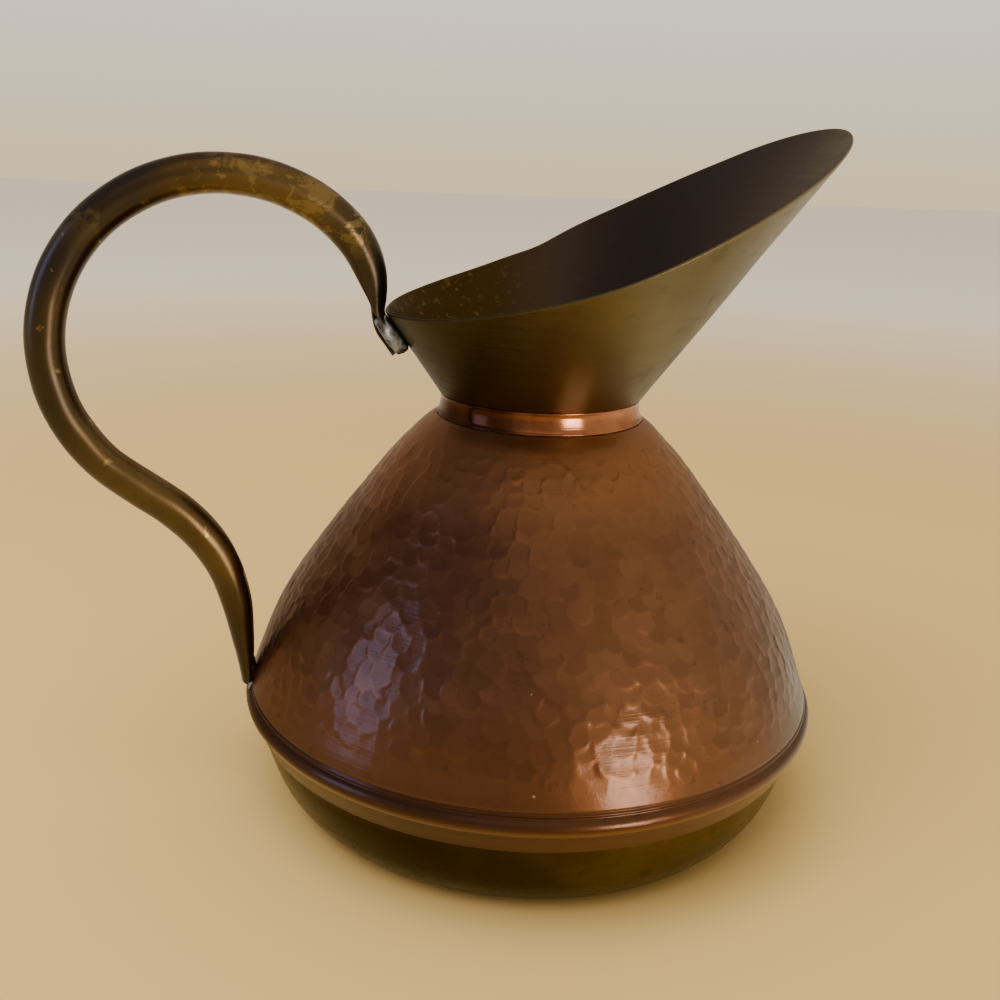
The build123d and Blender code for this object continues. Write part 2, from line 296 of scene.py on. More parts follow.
def brass_spun():
    m = Mat("brass_spun")
    inside = m.attr("inside")
    edge = m.attr("edge")
    x, y, z = m.xyz()
    broad = m.noise(1.0, 3.0, 0.55, vec=m.scaled(26, 26, 9))
    c = m.mix(m.span(broad, 0.34, 0.68), (0.280, 0.226, 0.126), (0.375, 0.310, 0.185))
    # painted light and shade: the funnel is paler towards the right and darker towards the left, darkest left of the
    # middle and a little lighter at the far left
    c = m.mix(m.span(x, 0.028, 0.078, 0.0, 0.92), c, (0.580, 0.555, 0.520))
    c = m.mix(m.span(x, 0.030, -0.010, 0.0, 0.60), c, (0.205, 0.178, 0.110))
    c = m.mix(m.span(x, -0.012, -0.027, 0.0, 0.76), c, (0.085, 0.070, 0.034))
    c = m.mix(m.span(x, -0.026, -0.040, 0.0, 0.60), c, (0.150, 0.125, 0.080))
    # painted reflection: a pale spot on the funnel's front just above the collar
    reflection_spot = m.math("MULTIPLY", m.span(x, -0.0050, -0.0012), m.span(x, 0.0060, 0.0022))
    reflection_spot = m.math("MULTIPLY", reflection_spot, m.math("MULTIPLY", m.span(y, -0.020, -0.025), m.span(z, 0.141, 0.128)))
    c = m.mix(m.math("MULTIPLY", reflection_spot, 0.32), c, (0.640, 0.620, 0.560))
    tarnish = m.span(m.noise(120.0, 4.0, 0.65), 0.52, 0.72)
    c = m.mix(m.math("MULTIPLY", tarnish, 0.28), c, (0.180, 0.130, 0.060))
    # painted shade: the inside of the funnel is darker, most towards the left
    inside_shade = m.mix(m.span(x, -0.012, 0.024), (0.120, 0.082, 0.030), (0.150, 0.120, 0.098))
    inside_shade = m.mix(m.span(x, 0.040, 0.082), inside_shade, (0.215, 0.185, 0.150))
    c = m.mix(inside, c, inside_shade)
    grains = m.span(m.noise(420.0, 4.0, 0.75), 0.55, 0.66)
    grains = m.math("MULTIPLY", grains, m.span(x, 0.010, -0.020, 0.12, 1.0))
    c = m.mix(m.math("MULTIPLY", m.math("MULTIPLY", grains, inside), 0.45), c, (0.480, 0.330, 0.120))
    # painted light and shade: the rolled edge is dark on the left and pale on the right
    c = m.mix(m.math("MULTIPLY", edge, 0.45), c, m.mix(m.span(x, -0.03, 0.03), (0.170, 0.125, 0.055), (0.480, 0.390, 0.220)))
    m.link("Base Color", c)
    lines = m.noise(1.0, 4.0, 0.7, vec=m.scaled(22, 22, 3200))
    wide = m.noise(1.0, 2.0, 0.6, vec=m.scaled(16, 16, 520))
    r = m.math("ADD", m.span(lines, 0.25, 0.75, 0.27, 0.42, "LINEAR"), m.math("MULTIPLY", tarnish, 0.07))
    m.link("Roughness", r)
    h = m.math("ADD", m.math("MULTIPLY", lines, 0.6), m.math("MULTIPLY", wide, 0.4))
    m.link("Normal", m.bump(h, 0.28, 0.00018))
    m.b.inputs["Anisotropic"].default_value = 0.55
    t = m.node("Tangent", direction_type="RADIAL", axis="Z").outputs[0]
    m.link("Tangent", t)
    return m.m


def brass_pan():
    m = Mat("brass_pan")
    x, y, z = m.xyz()
    flat = m.node("CombineXYZ", {0: x, 1: y, 2: 0.0}).outputs[0]
    radius = m.node("VectorMath", {0: flat}, operation="LENGTH").outputs["Value"]
    c = m.mix(m.span(m.noise(30.0, 3.0, 0.6), 0.35, 0.68), (0.082, 0.058, 0.016), (0.145, 0.108, 0.036))
    stain = m.span(m.noise(160.0, 4.0, 0.7), 0.54, 0.70)
    c = m.mix(m.math("MULTIPLY", stain, 0.35), c, (0.060, 0.042, 0.014))
    # painted light: the pan is lighter towards the right; painted shade: darker towards the left
    c = m.mix(m.span(x, 0.0, 0.08, 0.0, 0.20), c, (0.260, 0.200, 0.090))
    c = m.mix(m.span(x, 0.010, -0.055, 0.0, 0.80), c, (0.030, 0.020, 0.006))
    c = m.mix(m.math("MULTIPLY", m.span(z, 0.004, 0.0), 0.6), c, (0.360, 0.290, 0.130))
    m.link("Base Color", c)
    ring = m.noise(1.0, 3.0, 0.65, vec=m.node("CombineXYZ", {0: m.math("MULTIPLY", radius, 2100.0), 1: m.math("MULTIPLY", z, 2100.0), 2: m.math("MULTIPLY", x, 9.0)}).outputs[0])
    m.link("Roughness", m.math("ADD", m.span(ring, 0.25, 0.75, 0.22, 0.34, "LINEAR"), m.math("MULTIPLY", stain, 0.08)))
    m.link("Normal", m.bump(ring, 0.20, 0.00015))
    m.b.inputs["Anisotropic"].default_value = 0.35
    m.link("Tangent", m.node("Tangent", direction_type="RADIAL", axis="Z").outputs[0])
    return m.m


def brass_worn():
    m = Mat("brass_worn")
    x, y, z = m.xyz()
    c = m.mix(m.span(m.noise(24.0, 3.0, 0.55), 0.34, 0.68), (0.190, 0.125, 0.042), (0.320, 0.220, 0.084))
    # painted shade: the handle darkens towards its foot, on the outer left of the loop and near its upper end
    c = m.mix(m.span(z, 0.075, 0.040, 0.0, 0.80), c, (0.060, 0.040, 0.018))
    c = m.mix(m.span(x, -0.116, -0.139, 0.0, 0.72), c, (0.070, 0.052, 0.030))
    c = m.mix(m.span(x, -0.070, -0.054, 0.0, 0.78), c, (0.080, 0.058, 0.030))
    # painted reflection: a bluish grey patch high on the left of the loop
    c = m.mix(m.math("MULTIPLY", m.span(x, -0.098, -0.112), m.span(z, 0.148, 0.160, 0.0, 0.72)), c, (0.075, 0.062, 0.050))
    fine = m.noise(420.0, 4.0, 0.7)
    c = m.mix(m.math("MULTIPLY", m.span(fine, 0.52, 0.70), 0.35), c, (0.130, 0.080, 0.035))
    # the hollow inside of the channel is darker: unpolished brass plus painted shade
    inner = m.attr("hollow")
    c = m.mix(m.math("MULTIPLY", inner, 0.75), c, (0.110, 0.085, 0.055))
    top = m.span(z, 0.160, 0.184)
    patch = m.span(m.noise(105.0, 4.0, 0.62, distort=0.4), 0.51, 0.60)
    rare = m.span(m.noise(150.0, 3.0, 0.6), 0.67, 0.73)
    rub = m.math("MULTIPLY", m.math("MULTIPLY", m.span(x, -0.104, -0.090), m.span(x, -0.046, -0.052)), m.span(z, 0.160, 0.170))
    streak = m.span(m.noise(150.0, 5.0, 0.7, distort=0.5), 0.50, 0.58)
    worn = m.math("MAXIMUM", m.math("MULTIPLY", m.math("MULTIPLY", top, patch), 0.7), rare)
    worn = m.math("MAXIMUM", worn, m.math("MULTIPLY", m.math("MULTIPLY", rub, streak), 0.8))
    worn = m.math("MULTIPLY", worn, m.math("SUBTRACT", 1.0, inner))
    c = m.mix(m.math("MULTIPLY", worn, 0.75), c, (0.560, 0.410, 0.165))
    lips = m.attr("lip")
    c = m.mix(m.math("MULTIPLY", lips, 0.45), c, (0.460, 0.360, 0.190))
    # painted shade: the tongue end by the funnel is darkened
    c = m.mix(m.span(x, -0.051, -0.0465, 0.0, 0.85), c, (0.075, 0.062, 0.045))
    m.link("Base Color", c)
    r = m.span(m.noise(80.0, 3.0, 0.6), 0.3, 0.7, 0.30, 0.42, "LINEAR")
    r = m.math("SUBTRACT", r, m.math("MULTIPLY", worn, 0.05))
    r = m.math("ADD", r, m.math("MULTIPLY", inner, 0.18), clamp=True)
    m.link("Roughness", r)
    h = m.math("ADD", m.math("MULTIPLY", m.noise(1500.0, 3.0, 0.7), 0.4), m.math("MULTIPLY", m.noise(230.0, 3.0, 0.6), 0.6))
    m.link("Normal", m.bump(h, 0.18, 0.0002))
    m.b.inputs["Coat Weight"].default_value = 1.0
    m.b.inputs["Coat Roughness"].default_value = 0.28
    m.b.inputs["Coat IOR"].default_value = 1.48
    return m.m


def solder_tin():
    m = Mat("solder_tin")
    c = m.mix(m.span(m.noise(300.0, 4.0, 0.65), 0.38, 0.64), (0.215, 0.240, 0.255), (0.700, 0.750, 0.790))
    m.link("Base Color", c)
    m.link("Roughness", m.span(m.noise(500.0, 3.0, 0.6), 0.3, 0.7, 0.34, 0.55, "LINEAR"))
    m.link("Normal", m.bump(m.noise(1100.0, 4.0, 0.7), 0.35, 0.0003))
    return m.m


COPPER, COLLAR, SPUN, PAN, WORN, TIN = copper_hammered(), copper_polished(), brass_spun(), brass_pan(), brass_worn(), solder_tin()
for node in ("base_seam_solder", "neck_seam_solder", "funnel_seam_solder"):
    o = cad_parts[node]
    o.data.materials.clear()
    o.data.materials.append(TIN)


# ------------------------------------------------------------------ copper body
BODY = [(86.06, 37.2), (84.9, 41.0), (83.4, 45.3), (79.9, 53.9), (74.7, 63.9), (68.1, 73.9), (60.7, 84.0), (53.1, 94.0), (45.3, 104.0), (38.4, 111.5), (34.6, 115.2), (31.05, 117.75)]


def blur(a, passes):
    for _ in range(passes):
        a = (np.roll(a, 1, 1) + 2 * a + np.roll(a, -1, 1)) / 4
        b = a.copy()
        b[1:-1] = (a[:-2] + 2 * a[1:-1] + a[2:]) / 4
        a = b
    return a


def hammer_field(th, s, rad):
    """Wall height left by the hammer, rows by columns, in millimetres, and how far each point stands out as a crest."""
    g = np.random.default_rng(5)
    cols = len(th)
    h = np.zeros((len(s), cols))
    coin = np.full((len(s), cols), 0.5)
    y = s[0] - 2.0
    while y < s[-1] + 3:
        r_here = float(np.interp(y, s, rad))
        count = max(20, int(round(2 * math.pi * r_here / 5.15)))
        phase = g.uniform(0, 1)
        for i in range(count):
            ty = y + g.normal(0, 0.62)
            tt = 2 * math.pi * (i + phase + g.normal(0, 0.13)) / count
            rr = float(np.interp(ty, s, rad))
            reach, rho, deep = g.uniform(2.95, 3.95), g.uniform(36, 74), g.uniform(0.0, 0.085)
            tilt_u, tilt_v = g.normal(0, 0.018, 2)
            tone, deep = g.uniform(0, 1), deep + 0.02 + reach ** 2 / (2 * rho)
            far = reach + 0.3
            j0, j1 = np.searchsorted(s, ty - far), np.searchsorted(s, ty + far)
            if j1 <= j0:
                continue
            half = int(math.ceil(far / rr / (2 * math.pi) * cols)) + 1
            c0 = int(round(tt / (2 * math.pi) * cols))
            cc = np.arange(c0 - half, c0 + half + 1)
            dx = (cc * (2 * math.pi / cols) - tt) * rr
            dy = s[j0:j1] - ty
            a, e = g.uniform(0, math.pi), g.uniform(0.84, 1.0)
            u = dx[None, :] * math.cos(a) + dy[:, None] * math.sin(a)
            v = (-dx[None, :] * math.sin(a) + dy[:, None] * math.cos(a)) / e
            d2 = u * u + v * v
            bowl = -deep + d2 / (2 * rho) + tilt_u * u + tilt_v * v
            t = np.clip((reach + 0.22 - np.sqrt(d2)) / 0.52, 0, 1)
            t = t * t * (3 - 2 * t)
            block = np.ix_(np.arange(j0, j1), cc % cols)
            h[block] = h[block] * (1 - t) + bowl * t
            coin[block] = coin[block] * (1 - t) + tone * t
        y += 4.45 * g.uniform(0.9, 1.1)
    h = blur(h, 1)
    crest = np.clip((h - blur(h, 14)) / 0.045, 0, 1)
    return np.minimum(h, 0.0), crest, coin


def body():
    n = 1200
    th = np.linspace(0, 2 * math.pi, n, endpoint=False)
    bead = np.radians(np.linspace(-72, 68, 24))
    rim = np.vstack([
        [(83.62, 24.80), (83.80, 24.60), (84.05, 24.52), (84.28, 24.60), (84.42, 24.85)],
        straight([(84.52, 25.2), (85.0, 26.7), (85.5, 28.3), (85.93, 29.70)], 0.6),
        [(86.00, 29.92), (86.10, 30.08)],
        np.stack([85.55 + 2.43 * np.cos(bead), 32.75 + 2.65 * np.sin(bead)], 1),
        [(86.34, 35.34), (86.27, 35.46), (86.25, 35.58)],
        arc(86.00, 36.12, 0.50, -62, 66, 9),
        [(86.10, 36.70), (86.02, 36.82), (86.01, 36.98)],
    ])
    wall = smooth_line(BODY, 0.45)
    top = np.array([(30.85, 117.9), (30.6, 117.97), (30.35, 117.93)])
    inner_wall = wall - normals_2d(wall, False) * 0.9
    inner = np.vstack([inner_wall[::-1][1::9], [(85.2, 36.2), (85.3, 35.2), (85.9, 34.2), (86.6, 33.1), (85.8, 31.9), (85.4, 31.3), (84.75, 29.0), (84.1, 26.7)]])
    prof = np.vstack([rim, wall, top, inner])
    s = np.r_[0, np.cumsum(np.linalg.norm(np.diff(wall, axis=0), axis=1))]
    h, crest, coin = hammer_field(th, s, wall[:, 0])
    z = wall[:, 1]
    amount = (0.10 + 0.90 * step01(z, 39.0, 47.0)) * (1 - 0.75 * step01(z, 109.0, 115.0)) * step01(z, 37.2, 39.5)
    slow = waves(th[None, :], s[:, None], 14, 3, 2, 11, 34.0)
    push = np.zeros((len(prof), n))
    a, b = len(rim), len(rim) + len(wall)
    fade = step01(z, 37.2, 44.0) * (1 - step01(z, 113, 117.5))
    push[a:b] = h * amount[:, None] + (slow - 1.2) * 0.12 * fade[:, None]
    rim_wave = waves(th, 0 * th + 5.0, 8, 9, 3, 14, 30.0)
    push[5:a - 4] += (np.minimum(rim_wave, 1.0) - 1.0)[None, :] * 0.05
    skirt_wave = waves(th, 0 * th + 2.0, 8, 21, 3, 20, 30.0)
    push[:10] += (skirt_wave * 0.05)[None, :]
    cr = np.zeros_like(push)
    cr[a:b] = crest * amount[:, None]
    cr[a - 36:a - 16] = 0.35
    tone = np.full_like(push, 0.5)
    tone[a:b] = 0.5 + (coin - 0.5) * amount[:, None]
    # rows that get painted shade: the skirt fully, the bead about half, the foot of the wall a little
    lo = np.zeros(len(prof))
    lo[:a] = 0.55 + 0.42 * step01(prof[:a, 1], 31.4, 30.2)
    lo[a:b] = 0.12 * (1 - step01(z, 38.0, 42.0))
    o = lathe("body_hammered", prof, n, COPPER, push, attrs={"crest": cr, "low_shade": lo, "coin": tone})
    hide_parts("body_shell")


body()


# ------------------------------------------------------------------ brass base pan
def pan():
    n = 480
    th = np.linspace(0, 2 * math.pi, n, endpoint=False)
    under = straight([(1.2, 0.28), (2.4, 0.12), (3.2, 0.0), (30.0, 0.0), (62.0, 0.0), (65.8, 0.0)], 1.2)
    side = smooth_line([(66.6, 0.02), (68.6, 0.22), (70.4, 0.85), (73.2, 2.6), (76.15, 5.4), (78.85, 9.4), (80.95, 14.4), (82.45, 19.6), (83.33, 24.5), (85.0, 30.7)], 0.8)
    w = smooth_line([(66.6, 0.02), (68.6, 0.22), (70.4, 0.85), (73.2, 2.6), (76.15, 5.4), (78.85, 9.4), (80.95, 14.4), (82.45, 19.6), (83.33, 24.5), (85.0, 30.7)], 2.6)
    back = (w - normals_2d(w, False) * 0.9)[::-1]
    floor = straight([(65.5, 0.92), (40.0, 0.92), (1.2, 0.92)], 4.0)
    prof = np.vstack([under, side, [(84.9, 30.95), (84.5, 31.0)], back, floor])
    push = np.zeros((len(prof), n))
    a, b = len(under), len(under) + len(side)
    z = side[:, 1]
    push[a:b] = (waves(th[None, :], z[:, None], 10, 31, 2, 9, 22.0) - 1.2) * 0.07 * (step01(z, 1.0, 5.0) * (1 - step01(z, 22, 24)))[:, None]
    r = under[:, 0]
    push[2:a] -= ((0.5 + 0.5 * np.sin(r * 1.7)) * 0.05 * step01(r, 4, 8) * (1 - step01(r, 52, 58)))[2:, None]
    o = lathe("base_pan_spun", prof, n, PAN, push, closed=False)
    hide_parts("base_pan")


pan()


# ------------------------------------------------------------------ copper collar
def collar():
    n = 480
    th = np.linspace(0, 2 * math.pi, n, endpoint=False)
    face = smooth_line([(30.35, 118.02), (30.56, 118.18), (30.58, 118.42), (30.32, 118.78), (29.95, 119.3), (29.72, 120.1), (29.50, 121.2), (29.36, 122.2), (29.36, 123.0), (29.62, 123.85)], 0.22)
    prof = np.vstack([face, [(29.70, 124.08), (29.60, 124.18), (29.40, 124.2), (28.95, 124.2), (28.90, 123.5), (28.90, 118), (28.90, 112.1), (29.2, 112.0), (29.62, 112.1), (29.65, 115.0), (29.65, 117.9), (29.9, 118.0)]])
    push = np.zeros((len(prof), n))
    k = len(face)
    z = face[:, 1]
    push[:k] = (waves(th[None, :], z[:, None], 12, 41, 3, 22, 14.0) - 0.8) * 0.045 * (1 - step01(z, 123.2, 124.0))[:, None]
    lip = waves(th, 0 * th + 1, 9, 43, 5, 26, 20.0)
    push[:6] += lip[None, :] * 0.05 - 0.05
    o = lathe("neck_collar_polished", prof, n, COLLAR, push)
    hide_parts("neck_collar")


collar()

# ------------------------------------------------------------------ brass funnel
RIM = np.array([(-62, 144.9), (-46.1, 147.2), (-26.6, 151.4), (-5.1, 157.2), (8.9, 162.2), (22.9, 168.5), (36.2, 175.0), (48.5, 181.4), (59.7, 187.4), (69.7, 193.0), (78.0, 197.9), (85.1, 202.0), (97, 208.6)], float)


def rim_height(x):
    m = np.gradient(RIM[:, 1], RIM[:, 0])
    i = np.clip(np.searchsorted(RIM[:, 0], x) - 1, 0, len(RIM) - 2)
    h = RIM[i + 1, 0] - RIM[i, 0]
    t = (x - RIM[i, 0]) / h
    return (2 * t ** 3 - 3 * t * t + 1) * RIM[i, 1] + (t ** 3 - 2 * t * t + t) * h * m[i] + (3 * t * t - 2 * t ** 3) * RIM[i + 1, 1] + (t ** 3 - t * t) * h * m[i + 1]


def funnel():
    n = 720
    th = np.linspace(-math.pi, math.pi, n, endpoint=False)

    def cone(z):
        return 29.75 + (z - 124.2) * 0.711

    lo, hi = np.full(n, 140.0), np.full(n, 204.0)
    for _ in range(50):
        mid = (lo + hi) / 2
        above = mid - rim_height(cone(mid) * np.cos(th)) > 0
        hi = np.where(above, mid, hi)
        lo = np.where(above, lo, mid)
    zr = (lo + hi) / 2
    wave = waves(th, 0 * th + 3.0, 7, 51, 2, 12, 20.0)
    far = np.exp(-((th - 1.35) / 0.16) ** 2)                    # a shallow dip in the far side of the rim
    zr = zr - 0.22 - 0.55 * np.exp(-(th / 0.5) ** 2) + 0.14 * np.clip(wave, -1.5, 1.5) - 0.9 * far
    up, down = 96, 70
    u = (np.linspace(0, 1, up)) ** 0.95
    outer_z = 124.25 + (zr - 124.25)[None, :] * u[:, None]
    outer_r = cone(outer_z) - 0.02
    share = np.clip((outer_z - 124.25) / 40.0, 0, 1)
    slow = waves(th[None, :], outer_z, 12, 57, 2, 9, 46.0)
    dents = waves(th[None, :], outer_z, 16, 59, 6, 22, 18.0)
    push = (np.clip(slow, -1.6, 1.2) - 1.2) * 0.16 * share + (np.clip(dents, -1.6, 1.2) - 1.2) * 0.035 * share
    cosn, sinn = 0.8150, -0.5795                                 # the cone's outward normal
    orr, ozz = outer_r + push * cosn, outer_z + push * sinn
    rr, zz = [orr], [ozz]
    t = 0.80
    edge = []
    for a in np.radians([28, 60, 90, 120, 152]):
        k, lift = -t / 2 * (1 - math.cos(a)), t / 2 * math.sin(a) * 0.75
        er = orr[-1] + cosn * k + 0.5795 * lift
        ez = ozz[-1] + sinn * k + 0.8150 * lift
        rr.append(er[None, :])
        zz.append(ez[None, :])
    v = np.linspace(1, 0, down)
    turn = 123.26
    inner_z = turn + (ozz[-1] - turn)[None, :] * v[:, None]
    inner_push = np.stack([np.interp(np.linspace(1, 0, down), u, push[:, j]) for j in range(n)], 1)
    ir = (cone(inner_z) - 0.98) + inner_push * cosn
    iz = inner_z + inner_push * sinn * 0
    rr.append(ir)
    zz.append(iz)
    spig = [(28.10, 122.9), (28.10, 121.0), (28.10, 117.0), (28.16, 116.2), (28.3, 116.02), (28.65, 116.02), (28.82, 116.3), (28.84, 120.0), (28.84, 124.1), (28.9, 124.22), (29.3, 124.23)]
    for r0, z0 in spig:
        rr.append(np.full((1, n), r0))
        zz.append(np.full((1, n), z0))
    r, z = np.vstack(rr), np.vstack(zz)
    r[up - 1] = r[up - 1]
    m = len(r)
    inside = np.zeros((m, n))
    inside[up + 3:] = 1.0
    edge = np.zeros((m, n))
    edge[up - 1:up + 5] = 1.0
    edge[up - 2] = 0.5
    verts = np.stack([r * np.cos(th), r * np.sin(th), z], -1).reshape(-1, 3)
    o = put("funnel_spun", verts, grid_faces(m, n, True, True), SPUN, attrs={"inside": inside, "edge": edge})
    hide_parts("funnel")


funnel()

# ------------------------------------------------------------------ handle
HANDLE = np.array([
    (-41.26, 136.34, 2.15, 3.9, 80), (-43.75, 139.84, 2.15, 3.9, 80), (-45.83, 142.77, 2.10, 3.9, 80),
    (-47.15, 145.25, 1.80, 3.9, 78), (-48.05, 147.75, 1.80, 4.0, 72), (-48.25, 150.6, 2.40, 4.2, 64),
    (-48.75, 154.2, 3.20, 4.6, 54), (-49.75, 158.6, 3.95, 4.95, 46), (-53.5, 166.6, 4.76, 5.3, 38),
    (-61.9, 175.1, 5.05, 5.5, 35), (-74.9, 181.7, 5.03, 5.5, 35), (-90.4, 183.9, 4.91, 5.4, 35),
    (-105.1, 181.3, 4.86, 5.35, 35), (-116.9, 175.2, 4.85, 5.35, 35), (-125.2, 167.9, 4.86, 5.35, 35),
    (-131.4, 159.0, 4.88, 5.35, 35), (-135.8, 147.5, 4.89, 5.4, 35), (-136.9, 133.3, 4.90, 5.4, 35),
    (-133.2, 118.6, 4.94, 5.4, 35), (-124.8, 106.0, 5.05, 5.5, 35), (-114.5, 97.4, 5.18, 5.6, 35),
    (-106.3, 91.2, 5.24, 5.6, 35), (-99.7, 84.3, 5.15, 5.5, 36), (-93.9, 75.1, 4.84, 5.3, 38),
    (-90.3, 63.1, 4.16, 5.0, 44), (-88.7, 51.5, 3.15, 4.6, 54), (-87.95, 43.5, 2.20, 4.2, 66),
    (-87.75, 36.6, 1.40, 3.9, 80),
], float)


def handle():
    p = HANDLE
    d = np.linalg.norm(np.diff(p[:, :2], axis=0), axis=1)
    m = []
    for i in range(len(p)):
        a = (p[i] - p[i - 1]) / d[i - 1] if i > 0 else None
        b = (p[i + 1] - p[i]) / d[i] if i < len(p) - 1 else None
        m.append(b if a is None else a if b is None else (a * d[i] + b * d[i - 1]) / (d[i - 1] + d[i]))
    rows = []
    for i in range(len(p) - 1):
        k = max(3, int(round(d[i] / 0.9)))
        for t in np.linspace(0, 1, k, endpoint=False):
            rows.append((2 * t ** 3 - 3 * t * t + 1) * p[i] + (t ** 3 - 2 * t * t + t) * d[i] * m[i] + (3 * t * t - 2 * t ** 3) * p[i + 1] + (t ** 3 - t * t) * d[i] * m[i + 1])
    rows.append(p[-1])
    rows = np.array(rows)
    way = np.gradient(rows[:, :2], axis=0)
    way /= np.linalg.norm(way, axis=1)[:, None]
    length = np.r_[0, np.cumsum(np.linalg.norm(np.diff(rows[:, :2], axis=0), axis=1))]
    g2 = np.random.default_rng(71)
    n_arc, n_lip, thick = 44, 4, 0.9
    verts, hollow, lipa = [], [], []
    ph = g2.uniform(0, 6.28, 8)
    for (x, z, r, w, g), (tx, tz), s in zip(rows, way, length):
        wob = 1.6 * math.sin(s * 0.11 + ph[0]) + 1.1 * math.sin(s * 0.29 + ph[1])
        top_end = 1 - float(step01(s, 9.5, 15.0))
        low_end = float(step01(s, length[-1] - 50.0, length[-1] - 22.0))
        plain = (1 - top_end) * (1 - low_end)
        g_a = math.radians(g + wob * plain - 12 * top_end - 10 * low_end + 7 * plain)
        g_b = math.radians(g + 42 * top_end + 2 * low_end - 25 * plain * float(step01(s, 11.0, 30.0)) - 1.3 * math.sin(s * 0.13 + ph[2]) + 0.9 * math.sin(s * 0.33 + ph[3]))
        a = 2 * r / (1 + math.cos(math.radians(g)))
        c = a - r
        nx, nz = -tz, tx                         # towards the open back
        turn = np.linspace(g_a, 2 * math.pi - g_b, n_arc)
        dent = -0.05 + 0.035 * np.sin(3 * turn + s * 0.21 + ph[4]) * math.sin(s * 0.17 + ph[5]) + 0.02 * np.sin(2 * turn - s * 0.4 + ph[6])
        dent = np.minimum(dent, -0.01)
        outer = np.stack([c + (a + dent) * np.cos(turn), (w + dent) * np.sin(turn)], 1)
        inner = np.stack([c + (a - thick) * np.cos(turn), (w - thick) * np.sin(turn)], 1)
        lip1 = [outer[-1] + (inner[-1] - outer[-1]) * k + np.array([math.cos(turn[-1] + math.pi / 2), math.sin(turn[-1] + math.pi / 2)]) * 0.30 * math.sin(math.pi * k) for k in (0.12, 0.38, 0.62, 0.88)]
        lip2 = [inner[0] + (outer[0] - inner[0]) * k + np.array([math.cos(turn[0] - math.pi / 2), math.sin(turn[0] - math.pi / 2)]) * 0.30 * math.sin(math.pi * k) for k in (0.12, 0.38, 0.62, 0.88)]
        ring = np.vstack([outer, lip1, inner[::-1], lip2])
        verts.append(np.stack([x + nx * ring[:, 0], ring[:, 1], z + nz * ring[:, 0]], 1))
        hollow.append(np.r_[np.zeros(n_arc + n_lip), np.clip(np.linspace(1.25, -0.15, n_arc) * 4, 0.15, 1), np.zeros(n_lip)])
        lipa.append(np.r_[np.zeros(n_arc), np.ones(n_lip), np.zeros(n_arc), np.ones(n_lip)])
    k = len(verts[0])
    v = np.vstack(verts)
    v[:, 0] = np.maximum(v[:, 0], -141.77)
    f = grid_faces(len(rows), k, False, True).tolist()
    last = (len(rows) - 1) * k
    for base, flip in ((0, False), (last, True)):
        loop = list(range(k))
        pairs = [(i, (n_arc + n_lip) + (n_arc - 1 - i)) for i in range(n_arc)]
        for (o1, i1), (o2, i2) in zip(pairs[:-1], pairs[1:]):
            q = [base + o1, base + i1, base + i2, base + o2]
            f.append(q[::-1] if flip else q)
        q1 = [base + j for j in range(n_arc - 1, n_arc + n_lip + 1)]
        q2 = [base + j % k for j in range(2 * n_arc + n_lip - 1, 2 * n_arc + 2 * n_lip + 1)]
        f.append(q1[::-1] if not flip else q1)
        f.append(q2[::-1] if not flip else q2)
    o = put("handle_channel", v, f, WORN, attrs={"hollow": np.concatenate(hollow), "lip": np.concatenate(lipa)}, fix=True)
    sharp = o.data.attributes.new("sharp_edge", "BOOLEAN", "EDGE")
    ends = np.zeros(len(o.data.edges) * 2, int)
    o.data.edges.foreach_get("vertices", ends)
    ends = ends.reshape(-1, 2)
    sharp.data.foreach_set("value", ((ends < k).all(1) | (ends >= last).all(1)))
    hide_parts("handle")


handle()


# ------------------------------------------------------------------ solder at the handle's ends
def lump(name, centre, axes, half, seed, power=2.6, rough=0.12, nodes=()):
    """A rounded bar of solder. axes are three unit vectors, half its half sizes, all in millimetres."""
    g = np.random.default_rng(seed)
    rows, cols = 40, 56
    a = np.linspace(-math.pi / 2, math.pi / 2, rows)
    b = np.linspace(0, 2 * math.pi, cols, endpoint=False)
    ca, sa, cb, sb = np.cos(a)[:, None], np.sin(a)[:, None], np.cos(b)[None, :], np.sin(b)[None, :]

    def po(x):
        return np.sign(x) * np.abs(x) ** (2 / power)

    u, v, w = po(ca) * po(cb), po(ca) * po(sb), po(sa) * np.ones_like(b)[None, :]
    q = np.stack([u * half[0], v * half[1], w * half[2]], -1)
    bump = np.zeros((rows, cols))
    for _ in range(26):
        k = g.normal(0, 1.3, 3)
        bump += np.sin(q @ k + g.uniform(0, 6.28))
    bump = bump / math.sqrt(26) * rough
    q = q * (1 + (bump / np.maximum(np.linalg.norm(q, axis=-1), 0.6)))[..., None]
    m = np.array(axes, float)
    v3 = q.reshape(-1, 3) @ m + np.array(centre, float)
    f = grid_faces(rows, cols, False, True)
    o = put(name, v3, f, TIN, fix=False)
    bm = bmesh.new()
    bm.from_mesh(o.data)
    bmesh.ops.remove_doubles(bm, verts=bm.verts, dist=1e-6)
    bmesh.ops.recalc_face_normals(bm, faces=bm.faces)
    bm.to_mesh(o.data)
    bm.free()
    return o


